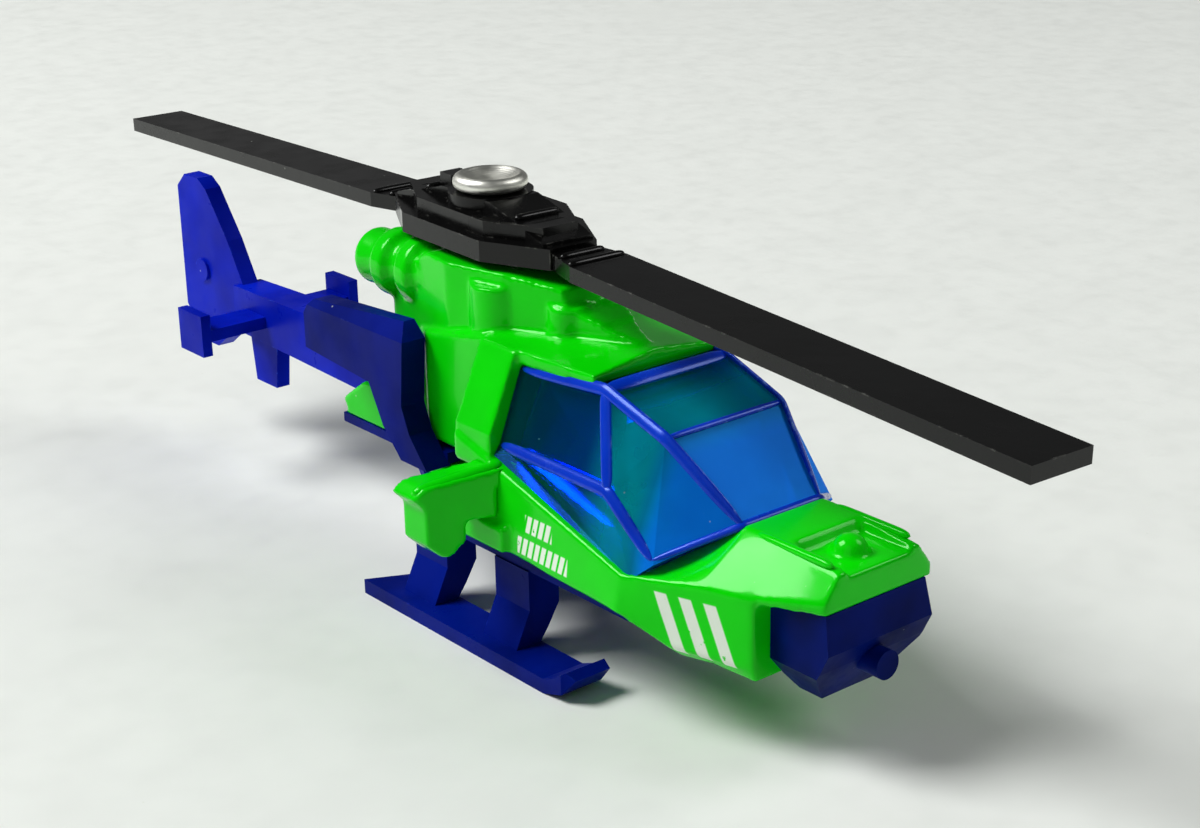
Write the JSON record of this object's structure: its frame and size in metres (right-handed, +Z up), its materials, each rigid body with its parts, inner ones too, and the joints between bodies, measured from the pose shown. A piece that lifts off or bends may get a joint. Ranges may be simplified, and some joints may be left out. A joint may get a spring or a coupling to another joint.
{
  "type": "toy helicopter",
  "caption": "Pocket-size toy helicopter with a green cast body, tinted faceted canopy, ski skids, spinning rotor and a tail that slides.",
  "frame": {"origin": "on the ground, under the rotor's axis, midway between the blade tips", "axes": "+Z up along the rotor's axis, -Y toward the nose, +X to port"},
  "size_m": [0.0234, 0.088, 0.0249],
  "materials": {
    "green_enamel": "bright green enamel on a zinc casting",
    "tinted_glazing": "clear blue-tinted moulded plastic",
    "cockpit_green": "satin green plastic",
    "blue_plastic": "dark blue moulded plastic",
    "tail_plastic": "blue moulded plastic",
    "black_plastic": "satin black moulded plastic",
    "bright_rivet": "bright spun metal"
  },
  "bodies": {
    "airframe": {"fuselage_shell": "green_enamel", "stub_wing_starboard": "green_enamel", "stub_wing_port": "green_enamel", "canopy_glazing": "tinted_glazing", "cockpit_tray": "cockpit_green", "belly_base": "blue_plastic", "base_rivets": "bright_rivet", "chin_turret": "blue_plastic", "turret_barrel": "blue_plastic", "skid_starboard": "blue_plastic", "skid_port": "blue_plastic", "rotor_rivet": "bright_rivet"},
    "rotor": {"rotor_hub": "black_plastic", "rotor_blade_fore": "black_plastic", "rotor_blade_aft": "black_plastic"},
    "tail": {"tail_boom": "tail_plastic", "tail_fin": "tail_plastic", "tailplane_starboard": "tail_plastic", "tailplane_port": "tail_plastic", "exhaust_arm_starboard": "tail_plastic", "exhaust_arm_port": "tail_plastic", "tail_yoke": "tail_plastic"}
  },
  "joints": [
    {"name": "rotor_spin", "type": "hinge", "parent": "airframe", "child": "rotor", "pos_m": [0, 0, 0.0225], "axis": [0, 0, 1], "continuous": true},
    {"name": "tail_slide", "type": "slide", "parent": "airframe", "child": "tail", "axis": [0, -1, 0], "range_m": [0, 0.0048]}
  ]
}
